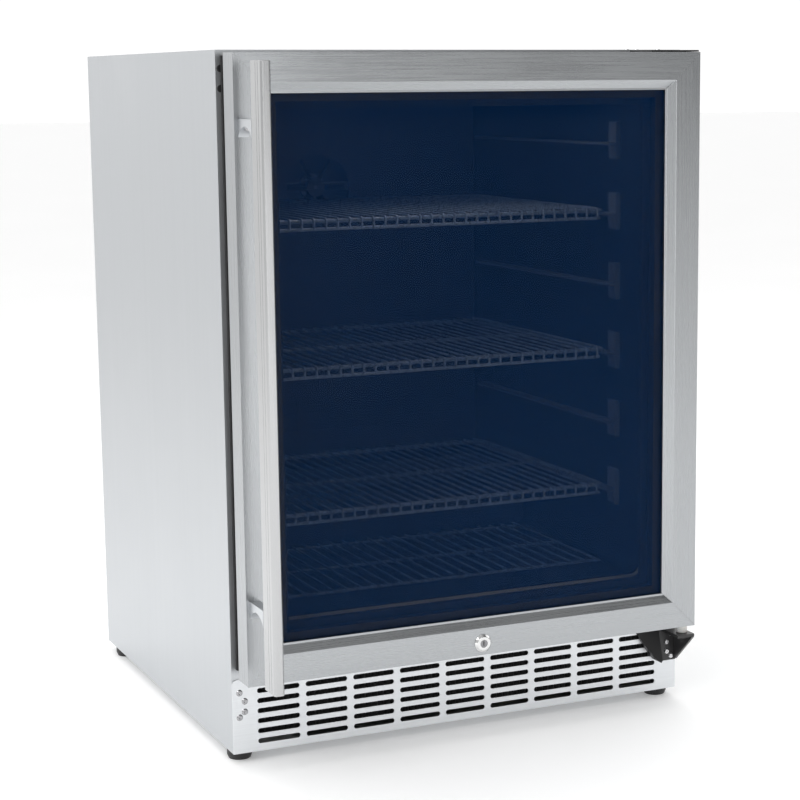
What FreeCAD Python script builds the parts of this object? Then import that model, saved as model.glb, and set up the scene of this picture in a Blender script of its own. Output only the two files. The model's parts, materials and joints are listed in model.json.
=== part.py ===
"""Undercounter refrigerator with a framed glass door, modelled in millimetres.

+X is the viewer's right when facing the door, -Y is the front, +Z is up.
The origin is the centre of the overall footprint, at floor level.
"""
import FreeCAD, Part
import math
import os
import re
import Sketcher

doc = FreeCAD.newDocument("refrigerator")
Vector = FreeCAD.Vector

# ---------------------------------------------------------------- driving dimensions

DIMENSIONS = {
    # cabinet
    "cab_width": 595,       # outside width of the shell
    "cab_depth": 545,       # shell depth, without door
    "cab_top": 820,         # height of the top panel above the floor
    "foot_height": 12,      # underside of the shell above the floor
    "front": -208,          # Y of the cabinet's front plane
    "skin": 1,              # sheet steel thickness of the shell
    "flange": 20,           # front return flange of the shell panels
    "wall": 45,             # insulated side wall, shell to cabin
    "floor_z": 165,         # cabin floor
    "ceiling_z": 780,       # cabin ceiling
    "cabin_depth": 498,     # cabin depth from the front plane
    "liner": 2,             # plastic liner thickness
    "collar": 6,            # how much wider the liner's front collar is
    "collar_depth": 18,
    "step_z": 240,          # top of the step over the machine bay
    "step_y": 340,          # cabin depth below the step
    "bay_y": 380,           # front of the machine bay, from the front plane
    "bay_z": 202,           # ceiling of the machine bay
    "deck_z": 118,          # underside of the insulation ahead of the bay
    # toe grille
    "grille_top": 101,
    "grille_skin": 1.2,
    "grille_corner": 5,
    "slot_length": 52.4,
    "slot_height": 6,
    "slot_pitch": 60.25,
    "slot_rise": 12.14,
    "slot_low_z": 24.1,     # centre of the lowest row
    "slot_columns": 9,
    "slot_rows": 6,
    # door
    "door_width": 590,
    "door_low": 106.5,
    "door_high": 816.5,
    "door_back": 16,        # gap from the cabinet front to the back of the door
    "door_face": 52.4,      # distance of the door's face from the cabinet front
    "rail_flat": 33,        # flat face of the frame section
    "rail_bevel": 42,       # where the bevel ends
    "rail_lip": 44.5,       # where the frame ends, at the glass
    "bevel_drop": 7,        # how far the bevel steps back
    "lip_return": 10.5,
    "fold": 1.2,            # sheet thickness of the door frame
    "sash": 61.5,           # inner edge of the plastic sash, from the door's edge
    "pane": 4,              # thickness of one pane
    "glass_gap": 12,        # air gap between the panes
    "glass_front": 41.3,    # distance of the outer pane's face from the cabinet front
    "seal_inset": 2.5,      # gasket's outer edge, from the door's edge
    # handle
    "grip_x": -290.5,         # left side of the grip
    "grip_width": 12,
    "grip_depth": 33,
    "grip_front": 129,      # front of the grip, from the cabinet front
    "grip_low": 116,
    "grip_high": 807,
    "post_low": 196,
    "post_high": 735,
    "post_height": 20,
    # hinges
    "hinge_x": 286,
    "hinge_y": 36,          # axis distance in front of the cabinet
    "pin_radius": 4,
    "pin_foot": 91,         # underside of the lower hinge pin
    "bush_radius": 6,
    "bush_depth": 15,       # how far a hinge bushing reaches into the door
    "arm_front": 50,        # front edge of the hinge arms, from the cabinet front
    "arm_low": 91,          # underside of the lower hinge arm
    "arm_high": 95,
    "plate_top": 818.9,     # upper hinge plate
    "plate_low": 816.9,
    "running_gap": 0.05,
    # lock
    "lock_z": 121,
    "lock_ring": 11,
    "barrel_radius": 8.5,
    "core_radius": 4.6,
    # feet
    "foot_x": 282,
    "foot_front": 24,
    "foot_rear": 505,
    "foot_radius": 15,
    "stud_radius": 5,
    # shelves
    "shelf_top": 714,       # top of a shelf on the highest support
    "shelf_pitch": 88.5,
    "shelf_half": 244,
    "shelf_front": 84,
    "shelf_back": 455,
    "wire": 1.5,            # radius of a shelf wire
    "frame_wire": 2.5,      # radius of a shelf's frame wire
    "wire_pitch": 15.3,
    "drop": 14,             # depth of the shelf's turned-down front
    # controls and light
    "control_z": 768,       # centre line of the buttons
    "control_low": 757,
    "control_front": 26,
    "button_radius": 5,
    # cooling system
    "cover_y": 468,         # front of the evaporator cover
    "fan_z": 640,           # evaporator fan axis
    "fan_radius": 43,
    "tube_radius": 3.5,
    "axle_radius": 2.5,
    "blower_x": -125,       # condenser fan axis
    "blower_z": 65,
    "blower_radius": 40,
    "pan_top": 13.5,        # top of the base pan
    "pot_x": 130,           # compressor axis
    "pot_y": 462,
    "pot_radius": 62,
    "pot_low": 42,          # underside of the compressor's straight wall
    "pot_high": 138,
}

sheet = doc.addObject("Spreadsheet::Sheet", "dims")
for row, (alias, value) in enumerate(DIMENSIONS.items(), start=1):
    sheet.set(f"A{row}", alias)
    sheet.set(f"B{row}", str(value))
    sheet.setAlias(f"B{row}", alias)
doc.recompute()

nodes = []


def formula(text):
    """Turn the aliases in an expression into references to the sheet."""
    return re.sub(r"[a-z_]+", lambda word: "dims." + word.group(), str(text))


def value(text):
    """The number that an expression of aliases comes to now."""
    probe = doc.addObject("App::FeaturePython", "probe")
    probe.addProperty("App::PropertyFloat", "Result")
    probe.setExpression("Result", formula(text))
    probe.recompute()
    number = float(probe.Result)
    doc.removeObject(probe.Name)
    return number


def node(thing, label):
    """Name a finished sub-part and keep it for export."""
    thing.Label = label
    nodes.append(thing)
    return thing


# ---------------------------------------------------------------- building blocks

def place(thing, x, y, z):
    for axis, text in zip("xyz", (x, y, z)):
        thing.setExpression(f".Placement.Base.{axis}", formula(text))


def box(x, y, z):
    """A box between (low, high) pairs of expressions, Y counted from the cabinet front."""
    thing = doc.addObject("Part::Box", "box")
    for prop, (low, high) in zip(("Length", "Width", "Height"), (x, y, z)):
        thing.setExpression(prop, formula(f"({high}) - ({low})"))
    place(thing, x[0], f"front + ({y[0]})", z[0])
    return thing


TURNS = {
    "X": FreeCAD.Rotation(Vector(0, 1, 0), 90),
    "Y": FreeCAD.Rotation(Vector(1, 0, 0), -90),
    "Z": FreeCAD.Rotation(),
}


def rod(radius, length, x, y, z, axis="Z"):
    """A cylinder from its start point along +axis."""
    thing = doc.addObject("Part::Cylinder", "rod")
    thing.setExpression("Radius", formula(radius))
    thing.setExpression("Height", formula(length))
    thing.Placement = FreeCAD.Placement(Vector(), TURNS[axis])
    place(thing, x, f"front + ({y})", z)
    return thing


def cone(start_radius, end_radius, length, x, y, z, axis="Z"):
    thing = doc.addObject("Part::Cone", "cone")
    thing.setExpression("Radius1", formula(start_radius))
    thing.setExpression("Radius2", formula(end_radius))
    thing.setExpression("Height", formula(length))
    thing.Placement = FreeCAD.Placement(Vector(), TURNS[axis])
    place(thing, x, f"front + ({y})", z)
    return thing


def fuse(*things):
    whole = doc.addObject("Part::MultiFuse", "fuse")
    whole.Shapes = list(things)
    return whole


def cut(base, *tools):
    result = doc.addObject("Part::Cut", "cut")
    result.Base = base
    result.Tool = tools[0] if len(tools) == 1 else fuse(*tools)
    return result


def rounded(thing, radius, axis):
    """Round the edges of a box that run along one axis."""
    doc.recompute()
    direction = {"X": Vector(1, 0, 0), "Y": Vector(0, 1, 0), "Z": Vector(0, 0, 1)}[axis]
    along = [
        number for number, edge in enumerate(thing.Shape.Edges, start=1)
        if abs(abs(edge.tangentAt(edge.FirstParameter).dot(direction)) - 1) < 1e-6
    ]
    result = doc.addObject("Part::Fillet", "rounded")
    result.Base = thing
    result.Edges = [(number, radius, radius) for number in along]
    return result


def ring(half_width, low, high, inner_half, inner_low, inner_high, y):
    """A rectangular frame, centred on X, between two Y stations."""
    outside = box((f"-({half_width})", half_width), y, (low, high))
    through = (f"({y[0]}) - 1", f"({y[1]}) + 1")
    return cut(outside, box((f"-({inner_half})", inner_half), through, (inner_low, inner_high)))


def plane_of(body, role):
    return next(item for item in body.Origin.OriginFeatures if item.Role == role)


def polygon(body, plane, points):
    """A closed sketch whose corners are expressions of the sheet."""
    sketch = body.newObject("Sketcher::SketchObject", "outline")
    sketch.AttachmentSupport = [(plane_of(body, plane), "")]
    sketch.MapMode = "FlatFace"
    corners = [Vector(value(across), value(up), 0) for across, up in points]
    for start, end in zip(corners, corners[1:] + corners[:1]):
        sketch.addGeometry(Part.LineSegment(start, end))
    count = len(corners)
    for index in range(count):
        sketch.addConstraint(Sketcher.Constraint("Coincident", index, 2, (index + 1) % count, 1))
    for index, (corner, texts) in enumerate(zip(corners, points)):
        for kind, number, text in zip(("DistanceX", "DistanceY"), corner, texts):
            made = sketch.addConstraint(Sketcher.Constraint(kind, -1, 1, index, 1, number))
            sketch.setExpression(f"Constraints[{made}]", formula(text))
    return sketch


# In-plane axes are (X, Y), (X, Z) and (Y, Z); a pad grows along the third axis.
PAD_REVERSED = {"XY_Plane": False, "XZ_Plane": True, "YZ_Plane": False}


def prism(plane, points, length, start):
    """A PartDesign pad of a polygon, from a start station along the plane's normal axis."""
    body = doc.addObject("PartDesign::Body", "body")
    sketch = polygon(body, plane, points)
    pad = body.newObject("PartDesign::Pad", "pad")
    pad.Profile = sketch
    pad.Reversed = PAD_REVERSED[plane]
    pad.setExpression("Length", formula(length))
    station = {"XY_Plane": ("0", "0", start), "XZ_Plane": ("0", start, "0")}
    place(body, *station.get(plane, (start, "0", "0")))
    return body


def screw(x, y, z, head=4, head_height=2, shank=1.8, length=12, axis="Y"):
    """A domed screw whose head faces -Y, or up for axis Z, with a cross recess."""
    if axis == "Y":
        parts = [
            cone(head * 0.7, head, head_height, x, f"({y}) - {head_height}", z, "Y"),
            rod(shank, length, x, y, z, "Y"),
        ]
        depth = (f"({y}) - {head_height} - 1", f"({y}) - {head_height} + 1")
        bars = [
            box((f"({x}) - {a}", f"({x}) + {a}"), depth, (f"({z}) - {b}", f"({z}) + {b}"))
            for a, b in ((head * 0.45, head * 0.1), (head * 0.1, head * 0.45))
        ]
    else:
        parts = [
            cone(head, head * 0.7, head_height, x, y, z),
            rod(shank, length, x, y, f"({z}) - {length}"),
        ]
        depth = (f"({z}) + {head_height} - 1", f"({z}) + {head_height} + 1")
        bars = [
            box((f"({x}) - {a}", f"({x}) + {a}"), (f"({y}) - {b}", f"({y}) + {b}"), depth)
            for a, b in ((head * 0.45, head * 0.1), (head * 0.1, head * 0.45))
        ]
    return cut(fuse(*parts), *bars)


# ---------------------------------------------------------------- cabinet shell

HALF = "cab_width / 2"
CABIN = "cab_width / 2 - wall"


TOP_SCREWS = [("240", "30"), ("262", "45"), ("284", "30")]

# Reversible hinge holes: a bow-shaped row of four, mirrored left and right.
HINGE_ROW = [("288.8", "85.1"), ("282.5", "74.4"), ("282.7", "61.9"), ("289", "55.6")]


def stud_holes():
    """Room for the threaded studs of the four feet."""
    return [
        rod("stud_radius + 0.2", "6", x, y, "foot_height - 2")
        for x in ("-foot_x", "foot_x") for y in ("foot_front", "foot_rear")
    ]


def top_bracket_room(extra):
    """The space that the top hinge plate takes, with a margin round it."""
    return box(("228 - " + extra, "cab_width / 2"), ("-60", "61"), ("plate_low - " + extra, "cab_top - skin"))


def build_shell():
    for side, sign in (("left", "-1"), ("right", "1")):
        edge = f"{sign} * ({HALF})"
        inner = f"{sign} * ({HALF} - flange)"
        skin_in = f"{sign} * ({HALF} - skin)"
        span = (edge, skin_in) if sign == "-1" else (skin_in, edge)
        web = box(span, ("skin", "cab_depth"), ("foot_height", "cab_top"))
        face = prism("XZ_Plane", [
            (edge, "foot_height"), (inner, "foot_height"),
            (inner, "cab_top - flange"), (edge, "cab_top"),
        ], "skin", "front")
        hem_in = f"{sign} * ({HALF} - 14)"
        hem_span = (skin_in, hem_in) if sign == "-1" else (hem_in, skin_in)
        hem = box(hem_span, ("skin", "cab_depth"), ("foot_height", "foot_height + skin"))
        screws = [rod("1.9", "6", f"{sign} * {x}", "-2", z, "Y") for x, z in HINGE_ROW]
        panel = cut(fuse(web, face, hem), top_bracket_room("0.4"), *screws, *stud_holes())
        node(panel, f"side_panel_{side}")
    plate = box((f"-({HALF} - skin)", f"{HALF} - skin"), ("skin", "cab_depth"), ("cab_top - skin", "cab_top"))
    face = prism("XZ_Plane", [
        (f"-({HALF})", "cab_top"), (f"-({HALF} - flange)", "cab_top - flange"),
        (f"{HALF} - flange", "cab_top - flange"), (HALF, "cab_top"),
    ], "skin", "front")
    holes = [
        rod("2.1", "skin * 4", x, y, "cab_top - 2 * skin") for x, y in TOP_SCREWS
    ]
    node(cut(fuse(plate, face), top_bracket_room("0.4"), *holes), "top_panel")
    node(box((f"-({HALF} - skin)", f"{HALF} - skin"), ("cab_depth - skin", "cab_depth"),
             ("bay_z", "cab_top - skin")), "back_panel")


def build_base():
    tray = box((f"-({HALF} - 15)", f"{HALF} - 15"), ("2", "cab_depth - 2"), ("foot_height", "pan_top"))
    lip = box((f"-({HALF} - flange - 0.5)", f"{HALF} - flange - 0.5"), ("2", "3.5"),
              ("foot_height", "foot_height + 8"))
    node(cut(fuse(tray, lip), *stud_holes()), "base_pan")


def build_front_frame():
    frame = ring(f"{HALF} - skin", "grille_top + 1", "cab_top - skin", f"{CABIN} + collar + 2.2",
                 "floor_z - collar - 2.2", "ceiling_z + collar + 2.2", ("skin", "2 * skin"))
    node(cut(frame, top_bracket_room("0.4")), "front_frame")


def cabin_solid(grow):
    """The cabin's hollow, grown all round, as one solid that starts at the front plane."""
    half = f"{CABIN} + {grow}"
    upper = rounded(box((f"-({half})", half), ("1", f"cabin_depth + {grow}"),
                        (f"floor_z - {grow}", f"ceiling_z + {grow}")), 14, "Y")
    collar_half = f"{CABIN} + collar + {grow}"
    collar_part = rounded(box((f"-({collar_half})", collar_half), ("1", "collar_depth"),
                              (f"floor_z - collar - {grow}", f"ceiling_z + collar + {grow}")), 16, "Y")
    bay = box((f"-({half}) - 1", f"{half} + 1"), (f"step_y + {grow}", "cab_depth"),
              (f"floor_z - {grow} - 1", f"step_z - {grow}"))
    return fuse(cut(upper, bay), collar_part)


def build_liner():
    outer = cabin_solid("liner")
    inner = cabin_solid("0")
    trim = box((f"-({HALF})", HALF), ("0", "2 * skin"), ("0", "cab_top"))
    node(cut(outer, inner, trim), "inner_liner")
    block = box((f"-({HALF} - skin)", f"{HALF} - skin"), ("2 * skin", "cab_depth - skin"),
                ("deck_z", "cab_top - skin"))
    bay = box((f"-({HALF})", HALF), ("bay_y", "cab_depth"), ("0", "bay_z"))
    node(cut(block, bay, cabin_solid("liner"), top_bracket_room("0.4")), "foam_insulation")


def build_grille():
    body = doc.addObject("PartDesign::Body", "grille")
    place(body, "0", "front - grille_skin", "0")
    right = [
        (HALF, "foot_height"), (HALF, "grille_top - grille_corner"),
        (f"{HALF} - grille_corner * 0.3", "grille_top - grille_corner * 0.3"),
        (f"{HALF} - grille_corner", "grille_top"),
    ]
    outline = right + [(f"-({x})", z) for x, z in reversed(right)]
    pad = body.newObject("PartDesign::Pad", "plate")
    pad.Profile = polygon(body, "XZ_Plane", outline)
    pad.Reversed = True
    pad.setExpression("Length", "dims.grille_skin")
    slot = body.newObject("Sketcher::SketchObject", "slot")
    slot.AttachmentSupport = [(plane_of(body, "XZ_Plane"), "")]
    slot.MapMode = "FlatFace"
    radius = value("slot_height / 2")
    reach = value("slot_length / 2") - radius
    middle = value("-slot_pitch * (slot_columns - 1) / 2")
    height = value("slot_low_z")
    for side, turn in ((-1, math.pi / 2), (1, -math.pi / 2)):
        circle = Part.Circle(Vector(middle + side * reach, height, 0), Vector(0, 0, 1), radius)
        slot.addGeometry(Part.ArcOfCircle(circle, turn, turn + math.pi))
    for side in (-1, 1):
        level = height + side * radius
        slot.addGeometry(Part.LineSegment(Vector(middle - reach, level, 0), Vector(middle + reach, level, 0)))
    for ends in ((0, 1, 3, 1), (0, 2, 2, 1), (1, 2, 3, 2), (1, 1, 2, 2)):
        slot.addConstraint(Sketcher.Constraint("Coincident", *ends))
    pocket = body.newObject("PartDesign::Pocket", "slot_cut")
    pocket.Profile = slot
    pocket.Type = 1
    pocket.Midplane = True
    doc.recompute()
    grid = body.newObject("PartDesign::MultiTransform", "slot_grid")
    grid.Originals = [pocket]
    steps = []
    directions = (("X_Axis", "slot_columns", "slot_pitch"), ("Z_Axis", "slot_rows", "slot_rise"))
    for role, count, pitch in directions:
        step = doc.addObject("PartDesign::LinearPattern", "step")
        body.addObject(step)
        step.Direction = (plane_of(body, role), [""])
        step.setExpression("Occurrences", formula(count))
        step.setExpression("Length", formula(f"({count} - 1) * {pitch}"))
        steps.append(step)
    grid.Transformations = steps
    body.Tip = grid
    node(cut(body, *[
        rod("1.9", "6", sign + x, "-4", z, "Y") for sign in ("-", "") for x, z in HINGE_ROW
    ]), "toe_grille")


def build_plugs():
    plugs = []
    for x, z in HINGE_ROW:
        button = cone("2.6", "4", "1.2", "-" + x, "-grille_skin - 1.2", z, "Y")
        dish = cone("1.7", "1.1", "0.7", "-" + x, "-grille_skin - 1.2", z, "Y")
        plugs.append(cut(fuse(button, rod("1.8", "5", "-" + x, "-grille_skin", z, "Y")), dish))
    node(fuse(*plugs), "grille_plugs")


# ---------------------------------------------------------------- hinges and lock keeper

def build_hinges():
    pin_hole = rod("pin_radius", "6", "hinge_x", "-hinge_y", "plate_low - 2")
    bores = [rod("2.1", "10", x, y, "plate_low - 5") for x, y in TOP_SCREWS]
    plate = cut(box(("228", "294"), ("-arm_front", "60"), ("plate_low", "plate_top")), pin_hole, *bores)
    node(plate, "top_hinge_bracket")
    leg = box(("272", "296"), ("-grille_skin - 3", "-grille_skin"), ("50", "arm_high"))
    arm = box(("272", "296"), ("-arm_front", "-grille_skin"), ("arm_low", "arm_high"))
    gusset = prism("YZ_Plane", [
        ("front - arm_front", "arm_low"), ("front - grille_skin", "arm_low"),
        ("front - grille_skin", "52"), ("front - 8", "52"),
    ], "3", "293")
    bores = [rod("1.9", "8", x, "-7", z, "Y") for x, z in HINGE_ROW]
    pin_hole = rod("pin_radius", "12", "hinge_x", "-hinge_y", "arm_low - 5")
    node(cut(fuse(leg, arm, gusset), pin_hole, *bores), "bottom_hinge_bracket")
    top_screws = [screw(x, y, "cab_top", 3.6, 1.6, 2, 3.2, "Z") for x, y in TOP_SCREWS]
    low_screws = [screw(x, "-grille_skin - 3", z, 3.6, 2, 1.8, 8) for x, z in HINGE_ROW]
    node(fuse(*top_screws, *low_screws), "hinge_screws")
    pins = [
        fuse(rod("pin_radius", "22", "hinge_x", "-hinge_y", "pin_foot"),
             rod("pin_radius + 1", "3", "hinge_x", "-hinge_y", "pin_foot - 3")),
        rod("pin_radius", "plate_top - 802", "hinge_x", "-hinge_y", "802"),
    ]
    node(fuse(*pins), "hinge_pins")


def build_hinge_cover():
    body = doc.addObject("PartDesign::Body", "cover")
    place(body, "0", "front - 22", "0")
    outline = body.newObject("Sketcher::SketchObject", "outline")
    outline.AttachmentSupport = [(plane_of(body, "XZ_Plane"), "")]
    outline.MapMode = "FlatFace"
    start, middle, end = Vector(236, 98, 0), Vector(249, 74, 0), Vector(264, 54, 0)
    corners = [end, Vector(269, 51, 0), Vector(271.5, 54, 0), Vector(271.5, 98, 0), start]
    outline.addGeometry(Part.Arc(start, middle, end))
    for low, high in zip(corners, corners[1:]):
        outline.addGeometry(Part.LineSegment(low, high))
    pad = body.newObject("PartDesign::Pad", "pad")
    pad.Profile = outline
    pad.Reversed = True
    pad.setExpression("Length", "22 - dims.grille_skin")
    slope = box(("200", "300"), ("-60", "-22"), ("40", "110"))
    slope.Placement.Rotation = FreeCAD.Rotation(Vector(1, 0, 0), -18)
    node(cut(body, slope), "bottom_hinge_cover")


def build_keeper():
    tab = box(("-12", "12"), ("-grille_skin - 1.5", "-grille_skin"), ("91.5", "grille_top - 0.5"))
    shelf = box(("-12", "12"), ("-24", "-grille_skin"), ("98", "99.5"))
    lip = box(("-12", "12"), ("-24", "-22.5"), ("98", "104.5"))
    node(fuse(tab, shelf, lip), "lock_keeper")


# ---------------------------------------------------------------- door

DOOR_HALF = "door_width / 2"
POSTS = ("post_low", "post_high")


def rail_section():
    """The folded frame section as (distance in from the door's edge, Y station) pairs."""
    outside = [
        ("0", "front - 20"), ("0", "front - door_face"), ("rail_flat", "front - door_face"),
        ("rail_bevel", "front - door_face + bevel_drop"),
        ("rail_lip", "front - door_face + bevel_drop"),
        ("rail_lip", "front - door_face + lip_return"),
    ]
    inside = [
        ("rail_lip - fold", "front - door_face + lip_return"),
        ("rail_lip - fold", "front - door_face + bevel_drop + fold"),
        ("rail_bevel - fold / 3", "front - door_face + bevel_drop + fold"),
        ("rail_flat - fold / 3", "front - door_face + fold"),
        ("fold", "front - door_face + fold"), ("fold", "front - 20"),
    ]
    return outside + inside


def mitre(corners):
    """A wedge that trims a rail's end to 45 degrees."""
    return prism("XZ_Plane", corners, "60", "front - 60")


def bushing_room():
    """Bores for the lower and the upper hinge bushing."""
    return [
        rod("bush_radius + 0.05", "20", "hinge_x", "-hinge_y", z)
        for z in ("door_low - 5", "door_high - bush_depth")
    ]


def build_rails():
    left, right = f"-({DOOR_HALF})", DOOR_HALF
    reach = "rail_lip + 4"
    wedges = {}
    for x_name, x, inward in (("left", left, "+"), ("right", right, "-")):
        for z_name, z, up in (("bottom", "door_low", "+"), ("top", "door_high", "-")):
            tip = (f"{x} {inward} ({reach})", f"{z} {up} ({reach})")
            outer = f"{x} {'-' if inward == '+' else '+'} 4"
            beyond = f"{z} {'-' if up == '+' else '+'} 4"
            wedges[x_name, z_name, "stile"] = lambda o=outer, b=beyond, t=tip: mitre([(o, b), (t[0], b), t])
            wedges[x_name, z_name, "rail"] = lambda o=outer, b=beyond, t=tip: mitre([(o, b), t, (o, t[1])])
    bushings = bushing_room()
    post_bores = [rod("3.1", "12", "grip_x + grip_width / 2", "-60", z, "Y") for z in POSTS]
    lock_bore = rod("barrel_radius + 0.1", "30", "0", "-60", "lock_z", "Y")
    for name, x, sign in (("left", left, "+"), ("right", right, "-")):
        section = [(f"{x} {sign} ({u})", v) for u, v in rail_section()]
        bar = prism("XY_Plane", section, "door_high - door_low", "door_low")
        tools = [wedges[name, end, "stile"]() for end in ("bottom", "top")]
        extras = post_bores if name == "left" else bushings
        node(cut(bar, *tools, *extras), f"door_stile_{name}")
    for name, z, sign in (("bottom", "door_low", "+"), ("top", "door_high", "-")):
        section = [(v, f"{z} {sign} ({u})") for u, v in rail_section()]
        bar = prism("YZ_Plane", section, "door_width", left)
        tools = [wedges[end, name, "rail"]() for end in ("left", "right")]
        low_room, high_room = bushing_room()
        extras = [high_room] if name == "top" else [low_room, lock_bore]
        node(cut(bar, *tools, *extras), f"door_rail_{name}")


def build_sash():
    """The plastic frame behind the steel one, which holds the glass unit."""
    front_y = "-(glass_front - 1)"
    half, low, high = f"{DOOR_HALF} - fold - 0.2", "door_low + fold + 0.2", "door_high - fold - 0.2"
    frame = ring(half, low, high, f"{DOOR_HALF} - sash", "door_low + sash", "door_high - sash",
                 (front_y, "-door_back"))
    seat = box((f"-({DOOR_HALF} - 41)", f"{DOOR_HALF} - 41"),
               ("-60", "-(glass_front - 2 * pane - glass_gap - 0.4)"), ("door_low + 41", "door_high - 41"))
    cam_room = box(("-8", "30"), ("-20.5", "-15"), ("door_low - 5", "lock_z + 8"))
    barrel_room = rod("barrel_radius + 0.1", "40", "0", "-55", "lock_z", "Y")
    screw_room = [rod("6", "12", "grip_x + grip_width / 2", "-52", z, "Y") for z in POSTS]
    node(cut(frame, seat, cam_room, barrel_room, *bushing_room(), *screw_room), "door_sash")


def build_glass():
    half, low, high = f"{DOOR_HALF} - 41.5", "door_low + 41.5", "door_high - 41.5"
    y = "-glass_front"
    node(box((f"-({half})", half), (y, f"{y} + pane"), (low, high)), "outer_pane")
    inset = "12"
    node(ring(half, low, high, f"{half} - {inset}", f"{low} + {inset}", f"{high} - {inset}",
              (f"{y} + pane", f"{y} + pane + glass_gap")), "glass_spacer")
    node(box((f"-({half})", half), (f"{y} + pane + glass_gap", f"{y} + 2 * pane + glass_gap"), (low, high)),
         "inner_pane")


def build_gasket():
    half, low, high = f"{DOOR_HALF} - seal_inset", "door_low + 6", "door_high - seal_inset"
    layers = []
    for width, inset, start, end in (("14", "0", "-door_back", "-11"), ("7", "3", "-11", "-5"),
                                     ("12", "0.5", "-5", "-0.7")):
        deep = f"{inset} + {width}"
        layers.append(ring(f"{half} - {inset}", f"{low} + {inset}", f"{high} - {inset}",
                           f"{half} - ({deep})", f"{low} + {deep}", f"{high} - ({deep})", (start, end)))
    node(fuse(*layers), "door_gasket")


def build_bushings():
    seat = "arm_high + 0.3"
    low = fuse(
        rod("bush_radius + 0.8", "door_low - arm_high - 0.5", "hinge_x", "-hinge_y", seat),
        rod("bush_radius", "bush_depth + 8", "hinge_x", "-hinge_y", seat),
    )
    high = rod("bush_radius", "bush_depth", "hinge_x", "-hinge_y", "door_high - bush_depth")
    bore = "pin_radius + running_gap"
    node(fuse(
        cut(low, rod(bore, "40", "hinge_x", "-hinge_y", "90")),
        cut(high, rod(bore, "40", "hinge_x", "-hinge_y", "790")),
    ), "hinge_bushings")


def build_handle():
    x, depth = "grip_x", "grip_depth"
    face = "front - grip_front"
    back = f"{face} + {depth}"
    right = f"{x} + grip_width"
    bevel = "2"
    groove = "0.8"
    outline = [(f"{x} + {bevel}", face), (f"{right} - {bevel}", face), (right, f"{face} + {bevel}"),
               (right, f"{back} - 1"), (f"{right} - 1", back), (f"{x} + 1", back), (x, f"{back} - 1")]
    for station in ("16", "9"):
        outline += [(x, f"{face} + {station} + 1"), (f"{x} + {groove}", f"{face} + {station} + 1"),
                    (f"{x} + {groove}", f"{face} + {station}"), (x, f"{face} + {station}")]
    outline.append((x, f"{face} + {bevel}"))
    node(prism("XY_Plane", outline, "grip_high - grip_low", "grip_low"), "handle_grip")
    posts = []
    for z in POSTS:
        block = box(("grip_x", "grip_x + grip_width"), ("-(grip_front - grip_depth)", "-door_face"),
                    (f"{z} - post_height / 2", f"{z} + post_height / 2"))
        arch = rod("26", "20", "grip_x - 4", "-(grip_front - grip_depth + door_face) / 2",
                   f"{z} - post_height / 2 - 14", "X")
        bore = rod("3.05", "30", "grip_x + grip_width / 2", "-door_face - 18", z, "Y")
        posts.append(cut(block, arch, bore))
    node(fuse(*posts), "handle_posts")
    node(fuse(*[
        fuse(rod("3", "18", "grip_x + grip_width / 2", "-door_face - 14", z, "Y"),
             rod("5", "2.5", "grip_x + grip_width / 2", "-door_face + fold", z, "Y"))
        for z in POSTS
    ]), "handle_screws")


def build_lock():
    bezel = fuse(
        cone("8.2", "lock_ring", "2.2", "0", "-door_face - 3.2", "lock_z", "Y"),
        rod("lock_ring", "1", "0", "-door_face - 1", "lock_z", "Y"),
        rod("barrel_radius", "31", "0", "-door_face", "lock_z", "Y"),
    )
    node(cut(bezel, rod("core_radius + running_gap", "60", "0", "-60", "lock_z", "Y")), "lock_barrel")
    plug = rod("core_radius", "38", "0", "-door_face - 2.6", "lock_z", "Y")
    keyway = box(("-0.6", "0.6"), ("-door_face - 4", "-door_face + 2"), ("lock_z - 3", "lock_z + 3"))
    node(cut(plug, keyway), "lock_core")
    arm = box(("-5", "20"), ("-19.5", "-17.5"), ("lock_z - 5", "lock_z + 5"))
    node(cut(arm, rod("core_radius", "10", "0", "-25", "lock_z", "Y")), "lock_cam")


# ---------------------------------------------------------------- feet

def build_feet():
    for y_name, y in (("front", "foot_front"), ("rear", "foot_rear")):
        for x_name, x in (("left", "-foot_x"), ("right", "foot_x")):
            sole = cone("foot_radius - 2", "foot_radius", "5", x, y, "0")
            disc = rod("foot_radius", "foot_height - 5.6", x, y, "5")
            stud = rod("stud_radius", "24", x, y, "3")
            node(fuse(sole, disc, stud), f"foot_{y_name}_{x_name}")


# ---------------------------------------------------------------- shelves and supports

LEVELS = 6
SHELF_LEVELS = (1, 3, 5)


def build_supports():
    for side, sign in (("left", -1), ("right", 1)):
        group = []
        for level in range(LEVELS):
            top = f"shelf_top - {level} * shelf_pitch"

            def span(depth):
                """From the wall inwards by a depth, ordered for this side."""
                near, far = f"{sign} * ({CABIN})", f"{sign} * ({CABIN} - {depth})"
                return (near, far) if sign < 0 else (far, near)

            heel = (f"{top} - 28", f"{top} + 18")
            group.append(fuse(
                box(span(2), ("66", "94"), heel),
                box(span(7), ("66", "68.5"), heel),
                box(span(16), ("66", "shelf_back + 4"), (f"{top} - 10.6", f"{top} - 7.6")),
                box(span(9), ("66", "80"), (f"{top} - 18", f"{top} - 8")),
            ))
        node(fuse(*group), f"shelf_supports_{side}")


def wire(start, end, radius):
    span = end.sub(start)
    return Part.makeCylinder(radius, span.Length, start, span)


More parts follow.
